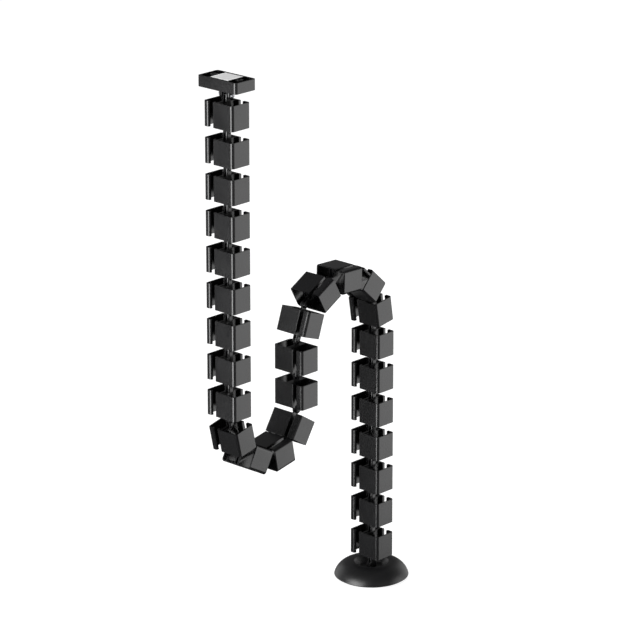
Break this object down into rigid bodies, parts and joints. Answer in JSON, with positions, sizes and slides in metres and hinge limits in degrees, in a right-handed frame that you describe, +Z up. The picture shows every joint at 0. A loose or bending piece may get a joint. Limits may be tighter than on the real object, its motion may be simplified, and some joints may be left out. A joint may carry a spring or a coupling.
{
  "type": "cable spine",
  "caption": "Hinged cable spine for a height-adjustable desk: a bracket under the top, a chain of slotted two-way vertebrae and a weighted round base.",
  "frame": {"origin": "on the floor, at the centre of the base's underside", "axes": "+Z up; every hinge axis is parallel to Y; the spine hangs in the XZ plane, with the desk bracket towards -X"},
  "size_m": [0.3365, 0.0996, 0.738],
  "materials": {
    "spine_plastic": "moulded satin black",
    "base_plastic": "moulded satin black",
    "pad_foam": "light grey adhesive foam with a smooth release film",
    "zinc_steel": "bright zinc-plated",
    "weight_steel": "oiled cut steel plate",
    "foot_rubber": "fine-textured anti-slip rubber"
  },
  "bodies": {
    "desk_bracket": {"desk_bracket": "spine_plastic", "adhesive_pad": "pad_foam", "pivot_screw": "zinc_steel", "pivot_nut": "zinc_steel"},
    "vertebra_01": {"vertebra_01": "spine_plastic"},
    "vertebra_02": {"vertebra_02": "spine_plastic"},
    "vertebra_03": {"vertebra_03": "spine_plastic"},
    "vertebra_04": {"vertebra_04": "spine_plastic"},
    "vertebra_05": {"vertebra_05": "spine_plastic"},
    "vertebra_06": {"vertebra_06": "spine_plastic"},
    "vertebra_07": {"vertebra_07": "spine_plastic"},
    "vertebra_08": {"vertebra_08": "spine_plastic"},
    "vertebra_09": {"vertebra_09": "spine_plastic"},
    "vertebra_10": {"vertebra_10": "spine_plastic"},
    "vertebra_11": {"vertebra_11": "spine_plastic"},
    "vertebra_12": {"vertebra_12": "spine_plastic"},
    "vertebra_13": {"vertebra_13": "spine_plastic"},
    "vertebra_14": {"vertebra_14": "spine_plastic"},
    "vertebra_15": {"vertebra_15": "spine_plastic"},
    "vertebra_16": {"vertebra_16": "spine_plastic"},
    "vertebra_17": {"vertebra_17": "spine_plastic"},
    "vertebra_18": {"vertebra_18": "spine_plastic"},
    "vertebra_19": {"vertebra_19": "spine_plastic"},
    "vertebra_20": {"vertebra_20": "spine_plastic"},
    "vertebra_21": {"vertebra_21": "spine_plastic"},
    "vertebra_22": {"vertebra_22": "spine_plastic"},
    "vertebra_23": {"vertebra_23": "spine_plastic"},
    "vertebra_24": {"vertebra_24": "spine_plastic"},
    "vertebra_25": {"vertebra_25": "spine_plastic"},
    "vertebra_26": {"vertebra_26": "spine_plastic"},
    "vertebra_27": {"vertebra_27": "spine_plastic"},
    "floor_base": {"base_dome": "base_plastic", "base_weight": "weight_steel", "base_screw": "zinc_steel", "foot_pad": "foot_rubber"}
  },
  "joints": [
    {"name": "hinge_01", "type": "hinge", "parent": "desk_bracket", "child": "vertebra_01", "pos_m": [-0.26877, 0, 0.71532], "axis": [0, -1, 0], "range_deg": [-50, 50]},
    {"name": "hinge_02", "type": "hinge", "parent": "vertebra_01", "child": "vertebra_02", "pos_m": [-0.26877, 0, 0.66832], "axis": [0, 1, 0], "range_deg": [-50, 50]},
    {"name": "hinge_03", "type": "hinge", "parent": "vertebra_02", "child": "vertebra_03", "pos_m": [-0.26877, 0, 0.62132], "axis": [0, -1, 0], "range_deg": [-50, 50]},
    {"name": "hinge_04", "type": "hinge", "parent": "vertebra_03", "child": "vertebra_04", "pos_m": [-0.26877, 0, 0.57432], "axis": [0, 1, 0], "range_deg": [-50, 50]},
    {"name": "hinge_05", "type": "hinge", "parent": "vertebra_04", "child": "vertebra_05", "pos_m": [-0.26877, 0, 0.52732], "axis": [0, -1, 0], "range_deg": [-50, 50]},
    {"name": "hinge_06", "type": "hinge", "parent": "vertebra_05", "child": "vertebra_06", "pos_m": [-0.26877, 0, 0.48032], "axis": [0, 1, 0], "range_deg": [-50, 50]},
    {"name": "hinge_07", "type": "hinge", "parent": "vertebra_06", "child": "vertebra_07", "pos_m": [-0.26877, 0, 0.43332], "axis": [0, -1, 0], "range_deg": [-50, 50]},
    {"name": "hinge_08", "type": "hinge", "parent": "vertebra_07", "child": "vertebra_08", "pos_m": [-0.26877, 0, 0.38632], "axis": [0, 1, 0], "range_deg": [-50, 50]},
    {"name": "hinge_09", "type": "hinge", "parent": "vertebra_08", "child": "vertebra_09", "pos_m": [-0.26877, 0, 0.33932], "axis": [0, -1, 0], "range_deg": [-50, 50]},
    {"name": "hinge_10", "type": "hinge", "parent": "vertebra_09", "child": "vertebra_10", "pos_m": [-0.26877, 0, 0.29232], "axis": [0, 1, 0], "range_deg": [-37, 63]},
    {"name": "hinge_11", "type": "hinge", "parent": "vertebra_10", "child": "vertebra_11", "pos_m": [-0.2582, 0, 0.24652], "axis": [0, -1, 0], "range_deg": [-99, 1]},
    {"name": "hinge_12", "type": "hinge", "parent": "vertebra_11", "child": "vertebra_12", "pos_m": [-0.2167, 0, 0.22446], "axis": [0, 1, 0], "range_deg": [-11, 89]},
    {"name": "hinge_13", "type": "hinge", "parent": "vertebra_12", "child": "vertebra_13", "pos_m": [-0.17057, 0, 0.23343], "axis": [0, -1, 0], "range_deg": [-97, 3]},
    {"name": "hinge_14", "type": "hinge", "parent": "vertebra_13", "child": "vertebra_14", "pos_m": [-0.14566, 0, 0.27329], "axis": [0, 1, 0], "range_deg": [-18, 82]},
    {"name": "hinge_15", "type": "hinge", "parent": "vertebra_14", "child": "vertebra_15", "pos_m": [-0.14566, 0, 0.32028], "axis": [0, -1, 0], "range_deg": [-50, 50]},
    {"name": "hinge_16", "type": "hinge", "parent": "vertebra_15", "child": "vertebra_16", "pos_m": [-0.14566, 0, 0.36728], "axis": [0, 1, 0], "range_deg": [-69, 31]},
    {"name": "hinge_17", "type": "hinge", "parent": "vertebra_16", "child": "vertebra_17", "pos_m": [-0.13036, 0, 0.41173], "axis": [0, -1, 0], "range_deg": [-8, 92]},
    {"name": "hinge_18", "type": "hinge", "parent": "vertebra_17", "child": "vertebra_18", "pos_m": [-0.08925, 0, 0.43451], "axis": [0, 1, 0], "range_deg": [-81, 19]},
    {"name": "hinge_19", "type": "hinge", "parent": "vertebra_18", "child": "vertebra_19", "pos_m": [-0.04228, 0, 0.43287], "axis": [0, -1, 0], "range_deg": [-10, 90]},
    {"name": "hinge_20", "type": "hinge", "parent": "vertebra_19", "child": "vertebra_20", "pos_m": [-0.00735, 0, 0.40142], "axis": [0, 1, 0], "range_deg": [-89, 11]},
    {"name": "hinge_21", "type": "hinge", "parent": "vertebra_20", "child": "vertebra_21", "pos_m": [0, 0, 0.355], "axis": [0, -1, 0], "range_deg": [-41, 59]},
    {"name": "hinge_22", "type": "hinge", "parent": "vertebra_21", "child": "vertebra_22", "pos_m": [0, 0, 0.308], "axis": [0, 1, 0], "range_deg": [-50, 50]},
    {"name": "hinge_23", "type": "hinge", "parent": "vertebra_22", "child": "vertebra_23", "pos_m": [0, 0, 0.261], "axis": [0, -1, 0], "range_deg": [-50, 50]},
    {"name": "hinge_24", "type": "hinge", "parent": "vertebra_23", "child": "vertebra_24", "pos_m": [0, 0, 0.214], "axis": [0, 1, 0], "range_deg": [-50, 50]},
    {"name": "hinge_25", "type": "hinge", "parent": "vertebra_24", "child": "vertebra_25", "pos_m": [0, 0, 0.167], "axis": [0, -1, 0], "range_deg": [-50, 50]},
    {"name": "hinge_26", "type": "hinge", "parent": "vertebra_25", "child": "vertebra_26", "pos_m": [0, 0, 0.12], "axis": [0, 1, 0], "range_deg": [-50, 50]},
    {"name": "hinge_27", "type": "hinge", "parent": "vertebra_26", "child": "vertebra_27", "pos_m": [0, 0, 0.073], "axis": [0, -1, 0], "range_deg": [-50, 50]},
    {"name": "hinge_28", "type": "hinge", "parent": "vertebra_27", "child": "floor_base", "pos_m": [0, 0, 0.026], "axis": [0, 1, 0], "range_deg": [-36, 36]}
  ]
}
